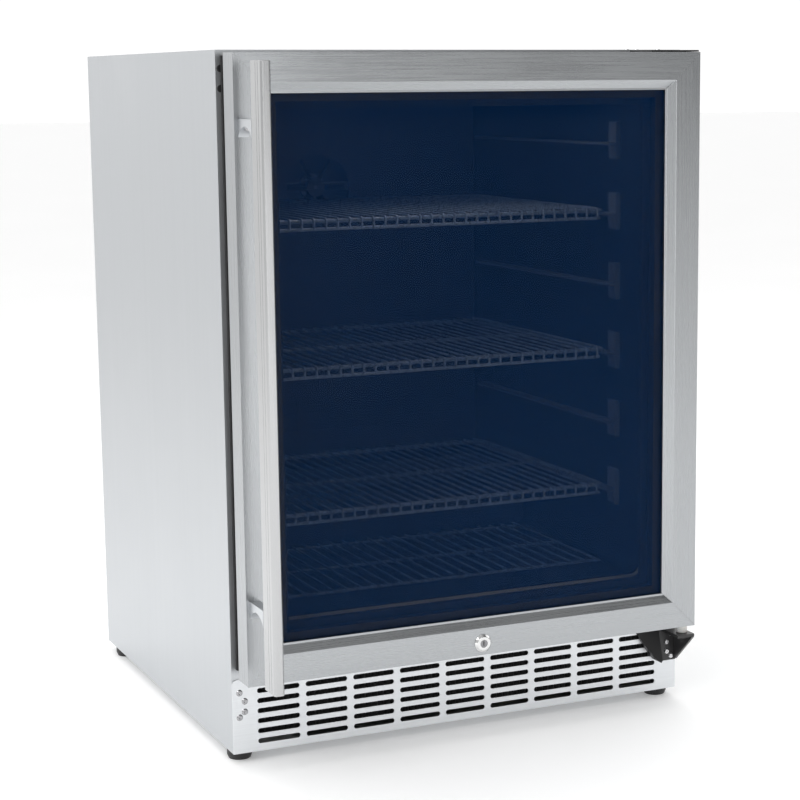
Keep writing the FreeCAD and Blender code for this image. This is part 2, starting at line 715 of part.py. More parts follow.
def bent_wire(corners, bend, radius, closed=False):
    """A round wire through right-angled corners, with a bend at each of them."""
    arcs = []
    turning = range(len(corners)) if closed else range(1, len(corners) - 1)
    for index in turning:
        corner = corners[index]
        back = (corners[index - 1] - corner).normalize() * bend
        ahead = (corners[(index + 1) % len(corners)] - corner).normalize() * bend
        centre = corner + back + ahead
        middle = centre + (corner - centre).normalize() * bend
        arcs.append((corner + back, middle, corner + ahead))
    path = []
    reached = arcs[-1][2] if closed else corners[0]
    for start, middle, end in arcs:
        path.append(Part.makeLine(reached, start))
        path.append(Part.Arc(start, middle, end).toShape())
        reached = end
    if not closed:
        path.append(Part.makeLine(reached, corners[-1]))
    heading = path[0].tangentAt(path[0].FirstParameter)
    outline = Part.Wire(Part.makeCircle(radius, path[0].firstVertex().Point, heading))
    return Part.Wire(path).makePipeShell([outline], True, False)


def wire_positions(half, pitch):
    count = int(2 * half // pitch) + 1
    return [(index - (count - 1) / 2) * pitch for index in range(count)]


def build_shelves():
    front_y = value("front + shelf_front")
    back_y = value("front + shelf_back")
    thin, thick = value("wire"), value("frame_wire")
    half = value("shelf_half") - thick
    for number, level in enumerate(SHELF_LEVELS, start=1):
        top = value(f"shelf_top - {level} * shelf_pitch")
        rail_z = top - 2 * thin - thick + 0.6
        low_z = top - value("drop")
        rail_front, rail_back = front_y + 8, back_y - 4
        frame = [
            Vector(-half, rail_front, rail_z), Vector(half, rail_front, rail_z),
            Vector(half, rail_back, rail_z), Vector(-half, rail_back, rail_z),
        ]
        wires = [bent_wire(frame, 6, thick, closed=True)]
        middle = (front_y + back_y) / 2
        wires.append(wire(Vector(-half, middle, rail_z), Vector(half, middle, rail_z), thick * 0.9))
        for x in wire_positions(half - 6, value("wire_pitch")):
            ends = [Vector(x, back_y, top - thin), Vector(x, front_y, top - thin), Vector(x, front_y, low_z)]
            wires.append(bent_wire(ends, 3, thin))
        reach = half - 8
        wires.append(wire(Vector(-reach, front_y + 1, low_z), Vector(reach, front_y + 1, low_z), 2))
        shelf = doc.addObject("Part::Feature", "shelf")
        shelf.Shape = wires[0].multiFuse(wires[1:])
        node(shelf, f"wire_shelf_{number}")


def build_floor_rack():
    front_y, back_y = value("front + shelf_front"), value("front + step_y - 12")
    thin = value("wire")
    level = value("floor_z")
    half = 237
    wires = []
    for x in wire_positions(half, 18.3):
        wires.append(wire(Vector(x, front_y, level + 5.2), Vector(x, back_y, level + 5.2), thin))
    for y in (front_y + 6, (front_y + back_y) / 2, back_y - 6):
        wires.append(wire(Vector(-half, y, level + 2.1), Vector(half, y, level + 2.1), 2))
    rack = doc.addObject("Part::Feature", "rack")
    rack.Shape = wires[0].multiFuse(wires[1:])
    node(rack, "floor_rack")


# ---------------------------------------------------------------- controls and light

BUTTONS = {"colder_button": "-42", "warmer_button": "-22", "light_button": "42"}


def build_controls():
    shell = box(("-110", "110"), ("control_front", "control_front + 60"), ("control_low", "ceiling_z"))
    wells = [
        rod("button_radius + 0.3", "16", x, "control_front - 6", "control_z", "Y")
        for x in BUTTONS.values()
    ]
    node(cut(shell, *wells), "control_housing")
    for name, x in BUTTONS.items():
        cap = rod("button_radius", "7", x, "control_front - 1.6", "control_z", "Y")
        crown = rod("button_radius - 2", "0.6", x, "control_front - 2.2", "control_z", "Y")
        node(fuse(cap, crown), name)
    node(box(("-180", "180"), ("104", "118"), ("ceiling_z - 6", "ceiling_z")), "light_strip")


# ---------------------------------------------------------------- cooling system

def impeller(centre, hub, tip, blades, depth):
    """An axial rotor about Y, with pitched flat blades on a bored hub."""
    along = Vector(0, 1, 0)
    pitch = 50
    core = Part.makeCylinder(hub, depth, centre, along)
    parts = [core]
    for index in range(blades):
        blade = Part.makeBox(tip - hub + 2, 1.4, depth * 1.9, Vector(hub - 2, -0.7, -depth * 0.95))
        blade.rotate(Vector(), Vector(1, 0, 0), pitch)
        blade.translate(Vector(0, depth / 2, 0))
        blade.rotate(Vector(), along, index * 360 / blades)
        blade.translate(centre)
        parts.append(blade)
    rotor = parts[0].multiFuse(parts[1:])
    slab = Part.makeCylinder(tip, depth, centre, along)
    bore = Part.makeCylinder(value("axle_radius + running_gap"), depth * 3, centre - along * depth, along)
    made = doc.addObject("Part::Feature", "rotor")
    made.Shape = rotor.common(slab).cut(bore)
    return made


def build_evaporator():
    vents = [
        box((f"{column} * 60 - 22", f"{column} * 60 + 22"), ("460", "480"), (f"{level}", f"{level} + 5"))
        for column in range(-3, 4) for level in (300, 312, 324, 336)
    ]
    fan_hole = rod("fan_radius + 3", "20", "0", "cover_y - 8", "fan_z", "Y")
    flat = box(("-236", "236"), ("cover_y", "cover_y + 2"), ("270", "750"))
    node(cut(flat, fan_hole, *vents), "evaporator_cover")
    fins = [box((f"{index} * 14 - 0.3", f"{index} * 14 + 0.3"), ("475", "493"), ("380", "560"))
            for index in range(-14, 15)]
    tubes = [rod("tube_radius", "404", "-202", "484", z, "X") for z in ("400", "450", "500", "545")]
    node(fuse(*fins, *tubes), "evaporator_coil")
    motor = fuse(
        rod("18", "8", "0", "cover_y + 21", "fan_z", "Y"),
        rod("axle_radius", "14", "0", "cover_y + 8", "fan_z", "Y"),
        box(("-60", "60"), ("cover_y + 26", "cover_y + 29"), ("fan_z - 6", "fan_z + 6")),
    )
    node(motor, "evaporator_fan_motor")
    centre = Vector(0, value("front + cover_y + 8"), value("fan_z"))
    node(impeller(centre, hub=13, tip=value("fan_radius"), blades=6, depth=9), "evaporator_fan")


def build_condenser():
    fins = [box((f"{index} * 9 - 0.3", f"{index} * 9 + 0.3"), ("30", "72"), ("26", "108"))
            for index in range(-27, 1)]
    tubes = [rod("tube_radius", "262", "-252", y, z, "X")
             for y in ("40", "62") for z in ("40", "67", "94")]
    node(fuse(*fins, *tubes), "condenser_coil")
    shroud = cut(box(("blower_x - 65", "blower_x + 65"), ("84", "86"), ("pan_top", "112")),
                 rod("blower_radius + 3", "10", "blower_x", "80", "blower_z", "Y"))
    node(shroud, "condenser_shroud")
    motor = fuse(
        rod("19", "30", "blower_x", "106", "blower_z", "Y"),
        rod("axle_radius", "22", "blower_x", "86", "blower_z", "Y"),
        box(("blower_x - 8", "blower_x + 8"), ("112", "130"), ("pan_top", "blower_z - 5")),
    )
    node(motor, "condenser_fan_motor")
    centre = Vector(value("blower_x"), value("front + 88"), value("blower_z"))
    node(impeller(centre, hub=12, tip=value("blower_radius"), blades=5, depth=14), "condenser_fan")


def build_compressor():
    pot = fuse(
        rod("pot_radius", "pot_high - pot_low", "pot_x", "pot_y", "pot_low"),
        cone("pot_radius", "pot_radius - 24", "26", "pot_x", "pot_y", "pot_high"),
        cone("pot_radius - 12", "pot_radius", "14", "pot_x", "pot_y", "pot_low - 14"),
    )
    legs = box(("pot_x - 80", "pot_x + 80"), ("pot_y - 30", "pot_y + 30"),
               ("pan_top + 12.5", "pan_top + 15.5"))
    ports = [rod("4", "20", x, "pot_y - 22", "pot_high + 22") for x in ("pot_x - 12", "pot_x + 12")]
    node(fuse(pot, legs, *ports), "compressor")
    grommets = [
        rod("9", "12.5", x, y, "pan_top")
        for x in ("pot_x - 68", "pot_x + 68") for y in ("pot_y - 20", "pot_y + 20")
    ]
    node(fuse(*grommets), "compressor_grommets")
    bowl = box(("-248", "-72"), ("402", "528"), ("24", "60"))
    node(cut(box(("-250", "-70"), ("400", "530"), ("22", "52")), bowl), "drip_tray")


def build_rear():
    slots = [
        box((f"{column} * 62 - 25", f"{column} * 62 + 25"), ("cab_depth - 5", "cab_depth + 5"),
            (f"{level}", f"{level} + 4"))
        for column in range(-3, 3) for level in range(40, 180, 14)
    ]
    socket = box(("204", "234"), ("cab_depth - 5", "cab_depth + 5"), ("60", "82"))
    plate = box((f"-({HALF} - skin)", f"{HALF} - skin"), ("cab_depth - skin", "cab_depth"),
                ("foot_height + 2", "bay_z"))
    node(cut(plate, socket, *slots), "rear_cover")
    inlet = box(("204.2", "233.8"), ("cab_depth - 22", "cab_depth"), ("60.2", "81.8"))
    well = cut(box(("207", "231"), ("cab_depth - 16", "cab_depth + 1"), ("63", "79")),
               *[box((f"{x} - 1", f"{x} + 1"), ("cab_depth - 17", "cab_depth - 2"), (z, f"{z} + 6"))
                 for x, z in ((213, 66), (219, 69), (225, 66))])
    node(cut(inlet, well), "power_inlet")


# ---------------------------------------------------------------- assembly and export

def check():
    doc.recompute()
    for thing in doc.Objects:
        if {"Invalid", "Error"} & set(thing.State):
            raise RuntimeError(f"{thing.Label} failed: {thing.State}")
    for thing in nodes:
        if thing.Shape.isNull() or not thing.Shape.isValid():
            raise RuntimeError(f"{thing.Label} has no valid shape")


def export():
    os.makedirs("parts", exist_ok=True)
    for thing in nodes:
        thing.Shape.exportStep(f"parts/{thing.Label}.step")


build_shell()
build_base()
build_front_frame()
build_liner()
build_grille()
build_plugs()
build_hinges()
build_hinge_cover()
build_keeper()
build_rails()
build_sash()
build_glass()
build_gasket()
build_bushings()
build_handle()
build_lock()
build_feet()
build_supports()
build_shelves()
build_floor_rack()
build_controls()
build_evaporator()
build_condenser()
build_compressor()
build_rear()
check()
export()
print(len(nodes), "nodes")
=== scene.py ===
import json
import math

import bmesh
import bpy
from mathutils import Euler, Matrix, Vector


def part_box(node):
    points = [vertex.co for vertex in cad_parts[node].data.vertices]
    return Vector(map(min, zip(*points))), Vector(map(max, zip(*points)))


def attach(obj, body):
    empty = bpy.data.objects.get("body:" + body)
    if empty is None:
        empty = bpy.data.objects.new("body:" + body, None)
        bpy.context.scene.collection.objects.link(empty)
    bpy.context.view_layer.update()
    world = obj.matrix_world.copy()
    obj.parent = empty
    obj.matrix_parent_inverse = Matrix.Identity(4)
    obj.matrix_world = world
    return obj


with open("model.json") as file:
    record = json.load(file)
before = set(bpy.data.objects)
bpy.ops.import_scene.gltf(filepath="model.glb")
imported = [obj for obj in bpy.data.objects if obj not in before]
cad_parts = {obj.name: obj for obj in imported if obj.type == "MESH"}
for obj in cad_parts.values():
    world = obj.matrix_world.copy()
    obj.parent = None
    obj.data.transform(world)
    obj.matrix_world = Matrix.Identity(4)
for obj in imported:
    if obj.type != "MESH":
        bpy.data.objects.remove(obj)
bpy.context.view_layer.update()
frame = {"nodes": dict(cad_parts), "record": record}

nodes = frame["nodes"]
MM = 0.001


# ---------------------------------------------------------------- node-tree helpers

# A mix node has a set of sockets for each kind of data. These are the ones for colours.
MIX_FIRST, MIX_SECOND, MIX_RESULT = 6, 7, 2


class Finish:
    """One procedural material, built from a few shared kinds of step."""

    def __init__(self, name, **constants):
        self.material = bpy.data.materials.new(name)
        self.material.use_nodes = True
        self.tree = self.material.node_tree
        self.shader = self.tree.nodes["Principled BSDF"]
        self.place = self.step("ShaderNodeTexCoord").outputs["Object"]
        for socket, number in constants.items():
            self.shader.inputs[socket.replace("_", " ")].default_value = number

    def step(self, kind, inputs=None, **settings):
        """Adds a node; an input is another node's socket, a number, a vector or a colour."""
        made = self.tree.nodes.new(kind)
        for key, setting in settings.items():
            setattr(made, key, setting)
        for key, source in (inputs or {}).items():
            socket = made.inputs[key]
            if isinstance(source, bpy.types.NodeSocket):
                self.tree.links.new(source, socket)
            elif socket.type == "RGBA":
                socket.default_value = (*source, 1.0)
            else:
                socket.default_value = source
        return made

    def link(self, source, socket):
        self.tree.links.new(source, self.shader.inputs[socket])

    def noise(self, per_metre, detail=3.0, roughness=0.55):
        """Noise with so many features per metre: one number, or one for each axis."""
        scale = per_metre if isinstance(per_metre, tuple) else (per_metre,) * 3
        spread = self.step("ShaderNodeMapping", {"Vector": self.place, "Scale": scale})
        texture = self.step("ShaderNodeTexNoise", {
            "Vector": spread.outputs["Vector"], "Scale": 1.0,
            "Detail": detail, "Roughness": roughness,
        })
        return texture.outputs["Fac"]

    def cells(self, per_metre, output="Distance"):
        texture = self.step("ShaderNodeTexVoronoi", {
            "Vector": self.place, "Scale": per_metre, "Randomness": 1.0,
        })
        return texture.outputs[output]

    def remap(self, source, low, high, start=0.3, end=0.7):
        return self.step("ShaderNodeMapRange", {
            "Value": source, "From Min": start, "From Max": end, "To Min": low, "To Max": high,
        }).outputs["Result"]

    def blend(self, factor, first, second):
        mixed = self.step("ShaderNodeMix", {
            "Factor": factor, MIX_FIRST: first, MIX_SECOND: second,
        }, data_type="RGBA")
        return mixed.outputs[MIX_RESULT]

    def drift(self, pattern, colour, darkest, lightest):
        """The colour, darkened and lightened by a pattern."""
        return self.blend(self.remap(pattern, 0.0, 1.0),
                          shade(colour, darkest), shade(colour, lightest))

    def add(self, first, second, share=0.5):
        """first plus a share of second."""
        return self.step("ShaderNodeMath", {0: second, 1: share, 2: first},
                         operation="MULTIPLY_ADD").outputs[0]

    def bump(self, height, depth, strength=1.0):
        relief = self.step("ShaderNodeBump", {
            "Height": height, "Distance": depth, "Strength": strength,
        })
        self.link(relief.outputs["Normal"], "Normal")


def shade(colour, factor):
    return tuple(min(1.0, part * factor) for part in colour)


def paler(colour, lift):
    return tuple(part + lift for part in colour)


def lengthwise(axis, along, across):
    """Features per metre of a grain that runs along one axis."""
    return tuple(along if letter == axis else across for letter in "XYZ")


# ---------------------------------------------------------------- finishes

def grained_steel(name, grain_axis, colour, roughness):
    """Rolled sheet with fine lengthwise grain, faint cloudiness and handling marks."""
    finish = Finish(name, Metallic=1.0, Anisotropic=0.35)
    grain = finish.noise(lengthwise(grain_axis, 9.0, 900.0), detail=4.0, roughness=0.7)
    streak = finish.noise(lengthwise(grain_axis, 2.5, 160.0))
    cloud = finish.noise(5.0, detail=5.0)
    tint = finish.blend(finish.remap(grain, 0.0, 1.0, start=0.25, end=0.75),
                        shade(colour, 0.95), shade(colour, 1.04))
    dark_streaks = finish.remap(streak, 0.0, 0.14, start=0.4, end=0.8)
    tint = finish.blend(dark_streaks, tint, shade(colour, 0.85))
    pale_clouds = finish.remap(cloud, 0.0, 0.12, start=0.45, end=0.8)
    tint = finish.blend(pale_clouds, tint, shade(colour, 1.08))
    finish.link(tint, "Base Color")
    worn = finish.add(finish.remap(grain, roughness - 0.04, roughness + 0.05),
                      finish.remap(cloud, -1.0, 1.0), share=0.03)
    finish.link(worn, "Roughness")
    finish.bump(finish.add(grain, streak), depth=0.008 * MM)
    return finish.material


def polished_metal(name, colour, roughness):
    finish = Finish(name, Metallic=1.0)
    swirl = finish.noise(300.0)
    cloud = finish.noise(40.0, detail=4.0)
    finish.link(finish.drift(cloud, colour, 0.92, 1.04), "Base Color")
    finish.link(finish.remap(swirl, roughness * 0.8, roughness * 1.3), "Roughness")
    finish.bump(swirl, depth=0.01 * MM)
    return finish.material


def galvanised_sheet(name, colour):
    """Zinc coat whose crystals show as faint flat spangles."""
    finish = Finish(name, Metallic=0.9)
    spangle = finish.cells(110.0, output="Color")
    cloud = finish.noise(9.0, detail=4.0)
    grey = finish.step("ShaderNodeRGBToBW", {"Color": spangle}).outputs["Val"]
    tint = finish.blend(finish.remap(grey, 0.0, 1.0, start=0.1, end=0.9),
                        shade(colour, 0.86), shade(colour, 1.08))
    tint = finish.blend(finish.remap(cloud, 0.0, 0.3), tint, shade(colour, 0.75))
    finish.link(tint, "Base Color")
    finish.link(finish.remap(grey, 0.34, 0.52, start=0.1, end=0.9), "Roughness")
    finish.bump(grey, depth=0.02 * MM, strength=0.6)
    return finish.material


def moulded_plastic(name, colour, roughness, grain=700.0, depth=0.02 * MM, **constants):
    """Moulded skin: a fine leathery texture with slight colour drift and scuffs."""
    finish = Finish(name, **constants)
    pebble = finish.cells(grain)
    cloud = finish.noise(14.0, detail=5.0)
    scuff = finish.noise(lengthwise("Y", 400.0, 60.0), detail=5.0, roughness=0.7)
    scuffed = finish.remap(scuff, 0.0, 0.5, start=0.62, end=0.8)
    tint = finish.drift(cloud, colour, 0.9, 1.08)
    finish.link(finish.blend(scuffed, tint, paler(colour, 0.03)), "Base Color")
    skin = finish.remap(cloud, roughness - 0.05, roughness + 0.07)
    finish.link(finish.add(skin, scuff, share=0.06), "Roughness")
    finish.bump(pebble, depth, strength=0.7)
    return finish.material


def sprayed_paint(name, colour, roughness):
    """Baked paint with orange peel and dust lying in it."""
    finish = Finish(name, Coat_Weight=0.25, Coat_Roughness=0.2)
    peel = finish.noise(420.0, detail=2.0)
    dust = finish.noise(30.0, detail=6.0, roughness=0.7)
    dusty = finish.remap(dust, 0.0, 0.4, start=0.5, end=0.75)
    finish.link(finish.blend(dusty, colour, paler(colour, 0.05)), "Base Color")
    finish.link(finish.remap(dust, roughness, roughness + 0.15), "Roughness")
    finish.bump(peel, depth=0.03 * MM, strength=0.6)
    return finish.material


def glass(name, colour, alpha):
    """A pane whose tint lies in the sheet, with a trace of wiping marks."""
    finish = Finish(name, Alpha=alpha, IOR=1.5, Specular_IOR_Level=0.08)
    wipe = finish.noise(lengthwise("Z", 3.0, 7.0), detail=4.0)
    tone = finish.noise(lengthwise("Z", 1.4, 2.0), detail=2.0)
    wave = finish.noise(lengthwise("Z", 2.0, 3.0), detail=1.0)
    finish.link(finish.drift(tone, colour, 0.85, 1.15), "Base Color")
    finish.link(finish.remap(wipe, 0.015, 0.06), "Roughness")
    finish.bump(wave, depth=0.05 * MM, strength=0.3)
    return finish.material


def coated_wire(name, colour):
    """Thick epoxy coat that pools and dimples along a wire."""
    finish = Finish(name, Coat_Weight=0.4, Coat_Roughness=0.15, Metallic=0.3)
    dimple = finish.noise(260.0, detail=2.0)
    cloud = finish.noise(25.0)
    finish.link(finish.drift(cloud, colour, 0.85, 1.1), "Base Color")
    finish.link(finish.remap(dimple, 0.22, 0.36), "Roughness")
    finish.bump(dimple, depth=0.08 * MM, strength=0.5)
    return finish.material


def foam(name, dark, light):
    finish = Finish(name, Roughness=0.85)
    cloud = finish.noise(18.0, detail=5.0)
    finish.link(finish.blend(finish.remap(cloud, 0.0, 1.0), dark, light), "Base Color")
    finish.bump(finish.cells(420.0), depth=0.5 * MM)
    return finish.material


STEEL = (0.61, 0.63, 0.65)
# The door's steel is a darker copy of the same steel: painted shade for the darker look the door
# frame has in its light.
DOOR_STEEL_PAINTED_SHADE = shade(STEEL, 0.70)
shaded_upright_steel = grained_steel("shaded_brushed_steel_upright", "Z", DOOR_STEEL_PAINTED_SHADE, 0.27)
shaded_level_steel = grained_steel("shaded_brushed_steel_level", "X", DOOR_STEEL_PAINTED_SHADE, 0.27)

# The finish of each material slot.
finishes = {
    "brushed_steel": shaded_upright_steel,
    "satin_steel": grained_steel("satin_steel", "Z", shade(STEEL, 1.02), 0.34),
    "bright_steel": polished_metal("bright_steel", (0.72, 0.72, 0.73), 0.24),
    "chrome": polished_metal("chrome", (0.8, 0.8, 0.8), 0.10),
    "galvanised": galvanised_sheet("galvanised", (0.60, 0.62, 0.64)),
    "black_paint": sprayed_paint("black_paint", (0.018, 0.018, 0.019), 0.35),
    "motor_paint": sprayed_paint("motor_paint", (0.14, 0.15, 0.16), 0.4),
    "black_plastic": moulded_plastic("black_plastic", (0.014, 0.014, 0.015), 0.38),
    "grey_plastic": moulded_plastic("grey_plastic", (0.15, 0.17, 0.20), 0.42),
    "grey_button": moulded_plastic("grey_button", (0.42, 0.43, 0.45), 0.35, grain=1500.0),
    "white_nylon": moulded_plastic("white_nylon", (0.78, 0.78, 0.75), 0.38, grain=1300.0,
                                   Subsurface_Weight=0.05, Subsurface_Scale=0.004),
    "white_lens": moulded_plastic("white_lens", (0.80, 0.82, 0.84), 0.3, grain=900.0,
                                  Subsurface_Weight=0.1, Subsurface_Scale=0.006),
    "dark_liner": moulded_plastic("dark_liner", (0.006, 0.016, 0.034), 0.42, grain=500.0),
    "foam": foam("foam", (0.55, 0.44, 0.22), (0.74, 0.63, 0.38)),
    "black_rubber": moulded_plastic("black_rubber", (0.012, 0.012, 0.013), 0.62,
                                    grain=900.0, depth=0.04 * MM),
    "tinted_glass": glass("tinted_glass", (0.0012, 0.018, 0.066), 0.38),
    "clear_glass": glass("clear_glass", (0.03, 0.07, 0.12), 0.03),
    "coated_wire": coated_wire("coated_wire", (0.33, 0.39, 0.47)),
    "aluminium_fins": grained_steel("aluminium_fins", "Z", (0.68, 0.69, 0.70), 0.42),
}

# Nodes whose finish differs from that of their slot.
panel_steel = grained_steel("panel_steel", "Z", shade(STEEL, 0.90), 0.36)
special = {
    "door_rail_top": shaded_level_steel,
    "door_rail_bottom": shaded_level_steel,
    "side_panel_left": panel_steel,
    "side_panel_right": panel_steel,
    "top_panel": panel_steel,
    # The toe grille's steel is a paler copy of the steel: painted reflection of the pale floor.
    "toe_grille": grained_steel("grille_steel_painted_reflection", "X", (0.76, 0.78, 0.80), 0.42),
    "handle_grip": grained_steel("handle_steel", "Z", (0.50, 0.505, 0.51), 0.20),
    "lock_core": polished_metal("lock_face", (0.30, 0.30, 0.31), 0.3),
    "grille_plugs": polished_metal("plug_metal", (0.42, 0.42, 0.43), 0.22),
}


# ---------------------------------------------------------------- edges and shading of the nodes

# Edges that bend by less than this are shaded smooth, in degrees.
SMOOTH_BELOW = 32
# Edges that bend by more than this are rounded.
ROUND_ABOVE = 34
# Faces that bend by less than this are joined before the rounding.
FLAT_BELOW = 0.5
WELD_GAP = 0.004 * MM
EDGE_SEGMENTS = 2
FLAT_FACE_WEIGHT = 90


def smoothing_tree():
    """Geometry nodes that shade round faces smooth and keep real corners sharp."""
    group = bpy.data.node_groups.new("smooth_by_angle", "GeometryNodeTree")
    for way in ("INPUT", "OUTPUT"):
        group.interface.new_socket("Geometry", in_out=way, socket_type="NodeSocketGeometry")
    add, link = group.nodes.new, group.links.new
    source, target = add("NodeGroupInput"), add("NodeGroupOutput")
    angle = add("GeometryNodeInputMeshEdgeAngle")
    shallow = add("FunctionNodeCompare")
    shallow.data_type, shallow.operation = "FLOAT", "LESS_THAN"
    shallow.inputs[1].default_value = math.radians(SMOOTH_BELOW)
    link(angle.outputs["Unsigned Angle"], shallow.inputs[0])
    edges, faces = add("GeometryNodeSetShadeSmooth"), add("GeometryNodeSetShadeSmooth")
    edges.domain = "EDGE"
    faces.domain = "FACE"
    link(source.outputs[0], edges.inputs["Geometry"])
    link(shallow.outputs[0], edges.inputs["Shade Smooth"])
    link(edges.outputs["Geometry"], faces.inputs["Geometry"])
    link(faces.outputs["Geometry"], target.inputs[0])
    return group


smoothing = smoothing_tree()


def smooth(thing):
    thing.modifiers.new("smooth", "NODES").node_group = smoothing


def ease_edges(thing, width):
    """Rounds a part's real corners by a width in metres, and keeps its flat faces flat."""
    weld = thing.modifiers.new("weld", "WELD")
    weld.merge_threshold = WELD_GAP
    flat = thing.modifiers.new("flat", "DECIMATE")
    flat.decimate_type = "DISSOLVE"
    flat.angle_limit = math.radians(FLAT_BELOW)
    bevel = thing.modifiers.new("bevel", "BEVEL")
    bevel.width = width
    bevel.segments = EDGE_SEGMENTS
    bevel.limit_method = "ANGLE"
    bevel.angle_limit = math.radians(ROUND_ABOVE)
    smooth(thing)
    even = thing.modifiers.new("even", "WEIGHTED_NORMAL")
    even.keep_sharp = True
    even.weight = FLAT_FACE_WEIGHT


# Edge radius of each node in millimetres; a node that isn't here has round wires or thin fins.
EDGES = {
    "door_stile_left": 0.7, "door_stile_right": 0.7, "door_rail_top": 0.7, "door_rail_bottom": 0.7,
    "handle_grip": 0.35, "handle_posts": 1.2, "side_panel_left": 0.3, "side_panel_right": 0.3,
    "top_panel": 0.3, "toe_grille": 0.3, "front_frame": 0.2, "door_sash": 0.6, "door_gasket": 0.9,
    "outer_pane": 0.4, "inner_pane": 0.4, "top_hinge_bracket": 0.4, "bottom_hinge_bracket": 0.5,
    "bottom_hinge_cover": 1.0, "lock_keeper": 0.4, "lock_barrel": 0.3, "lock_core": 0.2,
    "lock_cam": 0.3, "control_housing": 1.6, "light_strip": 0.8, "evaporator_cover": 0.4,
    "compressor": 0.8, "drip_tray": 0.4, "rear_cover": 0.2, "power_inlet": 0.4, "back_panel": 0.2,
    "base_pan": 0.3, "shelf_supports_left": 0.5, "shelf_supports_right": 0.5,
    "hinge_bushings": 0.3, "grille_plugs": 0.2, "hinge_screws": 0.2, "colder_button": 0.5,
    "warmer_button": 0.5, "light_button": 0.5, "foot_front_left": 0.6, "foot_front_right": 0.6,
    "foot_rear_left": 0.6, "foot_rear_right": 0.6, "condenser_shroud": 0.3,
}

slots = {part["node"]: part["material_slot"] for part in frame["record"]["subparts"]}
for name, thing in nodes.items():
    thing.data.materials.clear()
    thing.data.materials.append(special.get(name, finishes[slots[name]]))
    if name in EDGES:
        ease_edges(thing, EDGES[name] * MM)
    else:
        smooth(thing)


# ---------------------------------------------------------------- builders of the small trims

FRONT, BACK = Vector((0, -1, 0)), Vector((0, 1, 0))


def piece(name, mesh, slot, body="cabinet"):
    """Turns a bmesh into a finished piece that rides on a body."""
    data = bpy.data.meshes.new(name)
    mesh.to_mesh(data)
    mesh.free()
    thing = bpy.data.objects.new(name, data)
    bpy.context.scene.collection.objects.link(thing)
    data.materials.append(finishes[slot])
    smooth(thing)
    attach(thing, body)


def turned(mesh, profile, centre, axis, steps):
    """Adds a solid of revolution: profile is (radius, height) pairs in mm, rim to tip."""
    turn = axis.to_track_quat("Z", "Y").to_matrix()
    rings = []
    for radius, height in profile:
        radius, height = radius * MM, height * MM
        if radius == 0:
            rings.append([mesh.verts.new(centre + turn @ Vector((0, 0, height)))])
            continue
        angles = [math.tau * step / steps for step in range(steps)]
        rings.append([
            mesh.verts.new(centre + turn @ Vector((
                radius * math.cos(angle), radius * math.sin(angle), height,
            )))
            for angle in angles
        ])
    for low, high in zip(rings, rings[1:]):
        for step in range(steps):
            after = (step + 1) % steps
            if len(high) == 1:
                mesh.faces.new((low[step], low[after], high[0]))
            else:
                mesh.faces.new((low[step], low[after], high[after], high[step]))


def fittings(name, profile, spots, axis, slot, steps=32):
    """One piece with the same turned shape at each spot."""
    mesh = bmesh.new()
    for spot in spots:
        turned(mesh, profile, Vector(spot), axis, steps)
    piece(name, mesh, slot)


def round_outline(low, high, corner, steps=6):
    """Points of a rectangle with round corners, in X and Z."""
    outline = []
    for quarter, (x, z) in enumerate((
        (high.x - corner, high.z - corner), (low.x + corner, high.z - corner),
        (low.x + corner, low.z + corner), (high.x - corner, low.z + corner),
    )):
        for step in range(steps + 1):
            angle = math.radians(90 * (quarter + step / steps))
            outline.append((x + corner * math.cos(angle), z + corner * math.sin(angle)))
    return outline


def plate(mesh, low, high, corner, steps=6):
    """Adds a flat slab, low to high, with round corners in its front outline."""
    outline = round_outline(low, high, corner, steps)
    front = [mesh.verts.new((x, low.y, z)) for x, z in outline]
    back = [mesh.verts.new((x, high.y, z)) for x, z in outline]
    mesh.faces.new(front)
    mesh.faces.new(reversed(back))
    for index, vert in enumerate(front):
        after = (index + 1) % len(front)
        mesh.faces.new((vert, back[index], back[after], front[after]))


def bead(mesh, low, high, corner, width, section=8):
    """Adds a half-round moulding that follows a rounded rectangle, crowned to the front."""
    rings = []
    for index in range(section + 1):
        angle = math.pi * index / section
        spread = width / 2 * math.cos(angle)
        rise = (high.y - low.y) * math.sin(angle)
        margin = Vector((spread, 0, spread))
        outline = round_outline(low - margin, high + margin, corner + spread)
        rings.append([mesh.verts.new((x, high.y - rise, z)) for x, z in outline])
    rings.append(rings[0])
    for near, far in zip(rings, rings[1:]):
        for index in range(len(near)):
            after = (index + 1) % len(near)
            mesh.faces.new((near[index], near[after], far[after], far[index]))


def pleats(mesh, low, high, front, back, pitch, thickness):
    """Adds a sheet folded to and fro between two depths, with upright folds."""
    columns = []
    for step in range(int((high.x - low.x) / pitch) + 1):
        x = low.x + step * pitch
        y = front if step % 2 else back
        columns.append([mesh.verts.new((x, y + thick, z)) for thick, z in (
            (0, low.z), (0, high.z), (thickness, high.z), (thickness, low.z),
        )])
    for near, far in zip(columns, columns[1:]):
        for edge in range(4):
            after = (edge + 1) % 4
            mesh.faces.new((near[edge], far[edge], far[after], near[after]))
    mesh.faces.new(columns[0])
    mesh.faces.new(reversed(columns[-1]))


# ---------------------------------------------------------------- trims at the front

# Two black plugs in the left front flange, measured from its outer edge and its top.
PLUG_PROFILE = [
    (4.2, -1.0), (4.2, 0.35), (3.9, 0.7), (3.2, 0.85), (2.9, 0.55), (0.9, 0.5), (0, 0.5),
]
PLUG_INSET = 5.7 * MM
PLUG_DROPS = (20.5 * MM, 42.5 * MM)
panel_low, panel_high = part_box("side_panel_left")
fittings("flange_plugs", PLUG_PROFILE, [
    (panel_low.x + PLUG_INSET, panel_low.y, panel_high.z - drop) for drop in PLUG_DROPS
], FRONT, "black_plastic")

